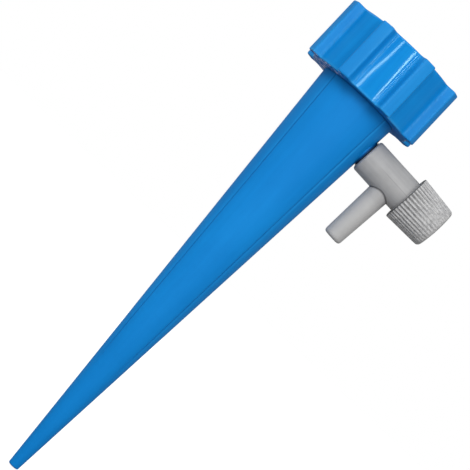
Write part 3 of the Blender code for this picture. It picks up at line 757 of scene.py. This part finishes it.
# Painted light: the nozzle painted paler to stand in for the stronger light on it
grey = mixed(ramp(x, *NOZZLE_LIGHT_DOWN), grey, GREY_NOZZLE_LIT, strength=0.8)
grey = mixed(parting * ramp(z, *PARTING_START), grey, GREY_PARTING, strength=0.25)
mixed(crease_shade, grey, GREY_CREASE_SHADE, strength=0.75).into(grey_shader, "Base Color")
(0.36 + grain * 0.14).into(grey_shader, "Roughness")
bumped(grain * 0.7 + draw_lines * 0.3, GREY_GRAIN_DEPTH).into(grey_shader, "Normal")
finish_piece(valve, grey_satin, "spike", "valve_body")


# Spindle
# The needle that the knob screws in and out of the barrel, turned from pale acetal rod. It is hidden
# inside the valve, so it keeps its CAD shape and only gets its skin.
SPINDLE_DEEP = (0.50, 0.50, 0.485, 1.0)
SPINDLE_PALE = (0.57, 0.57, 0.555, 1.0)
LATHE_MARK_DEPTH = 0.000004

pale_plastic, pale_shader, place = new_material("pale_plastic", specular_level=0.45)
mottle = ramp(noise(place, scale=500.0, detail=3.0), low=0.35, high=0.65)
lathe_marks = noise(stretched(place, scale=(0.2, 0.2, 1.0)), scale=5000.0, detail=2.0)
mixed(mottle, SPINDLE_DEEP, SPINDLE_PALE).into(pale_shader, "Base Color")
(0.30 + lathe_marks * 0.15).into(pale_shader, "Roughness")
bumped(lathe_marks, LATHE_MARK_DEPTH).into(pale_shader, "Normal")


def dress_node(node, material):
    """Give a material to a CAD node that keeps its shape."""
    slots = frame["nodes"][node].data.materials
    slots.clear()
    slots.append(material)


dress_node("valve_spindle", pale_plastic)


# Spindle O-ring
# The black rubber ring that seals the spindle in the barrel and slides with it, held in a groove that
# is turned in the spindle. It keeps its CAD shape too, and takes the rubber of the gaskets.
dress_node("spindle_o_ring", black_rubber)


# Knob
# The grey plastic cap that the fingers turn to set the drip, pressed on the spindle's hexagon head. It is
# moulded with fine finger serrations that run out on the rounded end, and a coarse spark-eroded grain.
KNOB_RIM = 0.01401
KNOB_END = 0.02471
KNOB_CEILING = 0.02121
KNOB_SOCKET_END = 0.02341
KNOB_RIM_RADIUS = 0.00636
KNOB_END_RADIUS = 0.00570
KNOB_CAVITY_RADIUS = 0.00488
KNOB_SOCKET_RADIUS = 0.00185
KNOB_SOCKET_SIDES = 6
KNOB_RIM_EDGE = 0.00025
KNOB_ROUNDING = 0.0010
KNOB_DOME = 0.0003
KNOB_DOME_STEPS = 5
KNOB_BARREL_STEPS = 6
SERRATION_COUNT = 40
SERRATION_DEPTH = 0.00034
SERRATION_RUN_OUT = 0.35
SERRATION_POINTS = 10


def serrated_ring(z, radius, depth):
    """A section of the knob: rounded ribs with rounded grooves between them."""
    ring = []
    for i in range(SERRATION_COUNT * SERRATION_POINTS):
        turn = 2 * pi * i / SERRATION_COUNT / SERRATION_POINTS
        groove = 0.5 + 0.5 * cos(turn * SERRATION_COUNT)
        reach = radius - depth * groove
        ring.append((reach * cos(turn), reach * sin(turn), z))
    return ring


knob_corner_z = KNOB_END - KNOB_DOME - KNOB_ROUNDING
knob_taper = (KNOB_END_RADIUS - KNOB_RIM_RADIUS) / (KNOB_END - KNOB_RIM)
knob_corner_radius = KNOB_RIM_RADIUS + knob_taper * (knob_corner_z - KNOB_RIM)
knob_rings = [
    serrated_ring(KNOB_CEILING, KNOB_CAVITY_RADIUS, 0.0),
    serrated_ring(KNOB_RIM + KNOB_RIM_EDGE, KNOB_CAVITY_RADIUS, 0.0),
    serrated_ring(KNOB_RIM, KNOB_CAVITY_RADIUS + KNOB_RIM_EDGE, 0.0),
    serrated_ring(KNOB_RIM, KNOB_RIM_RADIUS - KNOB_RIM_EDGE, 0.0),
    serrated_ring(KNOB_RIM + KNOB_RIM_EDGE / 3, KNOB_RIM_RADIUS - KNOB_RIM_EDGE / 3, SERRATION_DEPTH / 3),
]
for i in range(KNOB_BARREL_STEPS + 1):
    z = KNOB_RIM + KNOB_RIM_EDGE + (knob_corner_z - KNOB_RIM - KNOB_RIM_EDGE) * i / KNOB_BARREL_STEPS
    depth = SERRATION_DEPTH * (1 - (1 - SERRATION_RUN_OUT) * i / KNOB_BARREL_STEPS)
    knob_rings.append(serrated_ring(z, KNOB_RIM_RADIUS + knob_taper * (z - KNOB_RIM), depth))
for i in range(1, KNOB_DOME_STEPS + 1):
    swing = pi / 2 * i / KNOB_DOME_STEPS
    radius = knob_corner_radius - KNOB_ROUNDING * (1 - cos(swing))
    z = knob_corner_z + KNOB_ROUNDING * sin(swing)
    knob_rings.append(serrated_ring(z, radius, SERRATION_DEPTH * SERRATION_RUN_OUT * cos(swing)))
dome_edge = knob_corner_radius - KNOB_ROUNDING
for i in range(1, KNOB_DOME_STEPS + 1):
    share = i / (KNOB_DOME_STEPS + 1)
    z = KNOB_END - KNOB_DOME * (1 - share) ** 2
    knob_rings.append(serrated_ring(z, dome_edge * (1 - share), 0.0))
knob = add_object("knob_cap", skin("knob_cap", knob_rings), valve_frame)
socket_corners = [(KNOB_SOCKET_RADIUS, KNOB_RIM, 0.0), (KNOB_SOCKET_RADIUS, KNOB_SOCKET_END, 0.0)]
combine(knob, turned("knob_socket", eased(socket_corners), KNOB_SOCKET_SIDES), valve_frame, 'DIFFERENCE')

# Grey plastic with a grain that is drawn out along the ribs, painted shade in the grooves and inside the
# rim, and painted highlights on the rib tops in patches
KNOB_DEEP = (0.315, 0.315, 0.318, 1.0)
KNOB_PALE = (0.470, 0.469, 0.469, 1.0)
KNOB_SHADE = (0.060, 0.060, 0.064, 1.0)
KNOB_RIB_HIGHLIGHT = (0.620, 0.620, 0.620, 1.0)
KNOB_GRAIN_DEPTH = 0.000012
PATCH_SHIFT = (0.012, 0.0204, 0.0)
RIB_TOP = (0.0, 0.00012)
RIB_GROOVE_START = (0.00010, 0.00034)
RIB_GROOVE_END = (0.00050, 0.00070)
RIB_PAINT_LENGTH = 0.004
RIM_SHADE_LOW = 0.00005
RIM_SHADE_HIGH = 0.00030

grey_grained, knob_shader, place = new_material("grey_grained", specular_level=0.30)
mottle = noise(place, scale=700.0, detail=3.0)
grain = noise(stretched(place, scale=(1.0, 1.0, 0.45)), scale=3000.0, detail=1.0)
patched_place = stretched(place, scale=(1.0, 1.0, 0.25), shift=PATCH_SHIFT)
patches = ramp(noise(patched_place, scale=240.0, detail=1.0), low=0.42, high=0.58)
tone = ramp(mottle * 0.4 + grain * 0.6, low=0.38, high=0.62)
grey = mixed(tone, KNOB_DEEP, KNOB_PALE)
x, y, z = parted(place)
near_rim = 1 - ramp(z, KNOB_RIM + RIB_PAINT_LENGTH, knob_corner_z)
below_ribs = KNOB_RIM_RADIUS + (z - KNOB_RIM) * knob_taper - off_axis(x, y)
# Painted shade in the grooves between the ribs near the rim, in patches
rib_groove_shade = ramp(below_ribs, *RIB_GROOVE_START) * (1 - ramp(below_ribs, *RIB_GROOVE_END))
rib_groove_shade = rib_groove_shade * near_rim * (0.3 + patches * 0.7)
# Painted highlight on the rib tops near the rim, in patches
rib_highlight = (1 - ramp(below_ribs, *RIB_TOP)) * near_rim * patches
# Painted shade on the rim face and just inside the rim
rim_shade = 1 - ramp(z, KNOB_RIM + RIM_SHADE_LOW, KNOB_RIM + RIM_SHADE_HIGH)
grey = mixed(rib_groove_shade, grey, KNOB_SHADE, strength=0.65)
grey = mixed(rib_highlight, grey, KNOB_RIB_HIGHLIGHT, strength=0.4)
mixed(rim_shade, grey, KNOB_SHADE, strength=0.8).into(knob_shader, "Base Color")
(0.36 + grain * 0.20).into(knob_shader, "Roughness")
bumped(grain, KNOB_GRAIN_DEPTH).into(knob_shader, "Normal")
finish_piece(knob, grey_grained, "knob", "valve_knob")


# Studio
# A pale floor at the spike's tip and a white surround, lit by three soft boxes in an arc above the camera,
# one at the left and one behind. Two narrow strips draw the streaks on the cap, and two dim side boxes the
# sheen on its ridges.
LAMP_AIM = Vector((0.002, 0.0, 0.005))
FLOOR_SIZE = 6.0
FLOOR_GAP = 0.0002
AMBIENT = 0.56
SEEN_IN_GLOSS = 0.20
FLOOR_GLOW = 0.86
FLOOR_COLOUR = 0.30
SOFT_BOX = {"distance": 0.70, "width": 0.36, "height": 0.20}
SIDE_BOX = {"rise": 11.0, "power": 0.036, "distance": 0.56, "width": 0.10, "height": 0.14}
STRIP = {"rise": 11.5, "distance": 0.47, "height": 0.14}
BLACK = (0.0, 0.0, 0.0, 1.0)
WHITE = (1.0, 1.0, 1.0, 1.0)

bpy.context.scene.view_settings.view_transform = 'Standard'


def add_lamp(name, turn, rise, power, distance, width, height):
    """A soft box that shines at the object from so many degrees right of the camera and above it."""
    data = bpy.data.lights.new(name, 'AREA')
    data.shape = 'RECTANGLE'
    data.size = width
    data.size_y = height
    data.energy = power
    lamp = bpy.data.objects.new(name, data)
    bpy.context.scene.collection.objects.link(lamp)
    level = cos(radians(rise)) * Vector((sin(radians(turn)), -cos(radians(turn)), 0.0))
    lamp.location = LAMP_AIM + distance * (level + Vector((0.0, 0.0, sin(radians(rise)))))
    lamp.rotation_euler = (LAMP_AIM - lamp.location).to_track_quat('-Z', 'Y').to_euler()
    return lamp


add_lamp("box_left", turn=-34.0, rise=26.0, power=1.20, **SOFT_BOX)
add_lamp("box_front", turn=0.0, rise=26.0, power=0.82, **SOFT_BOX)
add_lamp("box_right", turn=30.0, rise=26.0, power=0.92, **SOFT_BOX)
add_lamp("box_side", turn=-100.0, rise=26.0, power=0.55, **SOFT_BOX)
box_back = add_lamp("box_back", turn=180.0, rise=12.0, power=1.00, **SOFT_BOX)
box_back.visible_glossy = False
box_back.visible_camera = False
add_lamp("strip_left", turn=-15.0, power=0.195, width=0.030, **STRIP)
add_lamp("strip_right", turn=17.6, power=0.265, width=0.026, **STRIP)
add_lamp("side_left", turn=-42.0, **SIDE_BOX)
add_lamp("side_right", turn=44.0, **SIDE_BOX)


def seen_share(tree):
    """1 for rays from the camera or through clear pieces, and the gloss share for reflected ones."""
    rays = tree.nodes.new('ShaderNodeLightPath')
    direct = Value(rays.outputs["Is Camera Ray"]) + Value(rays.outputs["Is Transmission Ray"])
    return direct + Value(rays.outputs["Is Glossy Ray"]) * SEEN_IN_GLOSS


world = bpy.data.worlds.new("studio")
bpy.context.scene.world = world
world.use_nodes = True
seen = seen_share(world.node_tree)
diffuse = Value(world.node_tree.nodes.new('ShaderNodeLightPath').outputs["Is Diffuse Ray"])
brightness = seen + diffuse * AMBIENT
mixed(brightness, BLACK, WHITE).into(world.node_tree.nodes["Background"], "Color")

form = bmesh.new()
bmesh.ops.create_grid(form, x_segments=1, y_segments=1, size=FLOOR_SIZE / 2)
floor_mesh = bpy.data.meshes.new("floor")
form.to_mesh(floor_mesh)
form.free()
floor = add_object("floor", floor_mesh, Matrix.Translation((0.0, 0.0, tip_z - FLOOR_GAP)))
pale_floor, floor_shader = new_material("pale_floor", specular_level=0.0)[:2]
floor_shader.inputs["Base Color"].default_value = (FLOOR_COLOUR, FLOOR_COLOUR, FLOOR_COLOUR, 1.0)
floor_shader.inputs["Roughness"].default_value = 1.0
floor_shader.inputs["Emission Strength"].default_value = 1.0
glow = seen_share(pale_floor.node_tree) * FLOOR_GLOW
mixed(glow, BLACK, WHITE).into(floor_shader, "Emission Color")
floor_mesh.materials.append(pale_floor)
